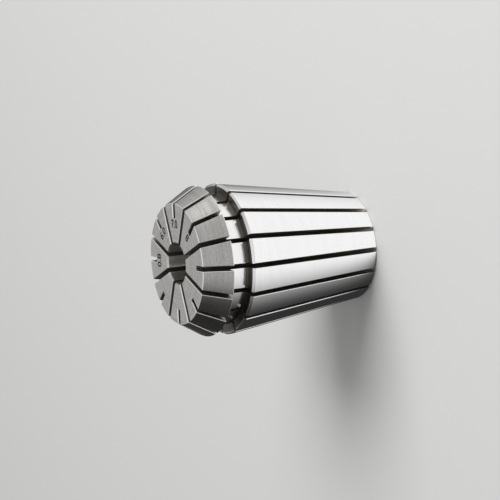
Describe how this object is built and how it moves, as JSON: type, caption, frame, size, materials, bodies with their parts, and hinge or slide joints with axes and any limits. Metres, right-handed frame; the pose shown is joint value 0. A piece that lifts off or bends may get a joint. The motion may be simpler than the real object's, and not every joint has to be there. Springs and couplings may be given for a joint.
{
  "type": "er collet",
  "caption": "Slit spring collet with a long main taper, a nose cone and an extraction groove; its segments close on a round shank in the bore.",
  "frame": {"origin": "centre of the small rear face, in the plane the collet stands on", "axes": "+Z along the bore axis from the rear face to the nose; +X through the middle of one of the slots sawn from the front"},
  "size_m": [0.026, 0.026, 0.034],
  "materials": {
    "steel": "hardened spring steel, taper ground bright, nose and front face finely turned"
  },
  "bodies": {
    "root": {"collet": "steel"}
  },
  "joints": []
}
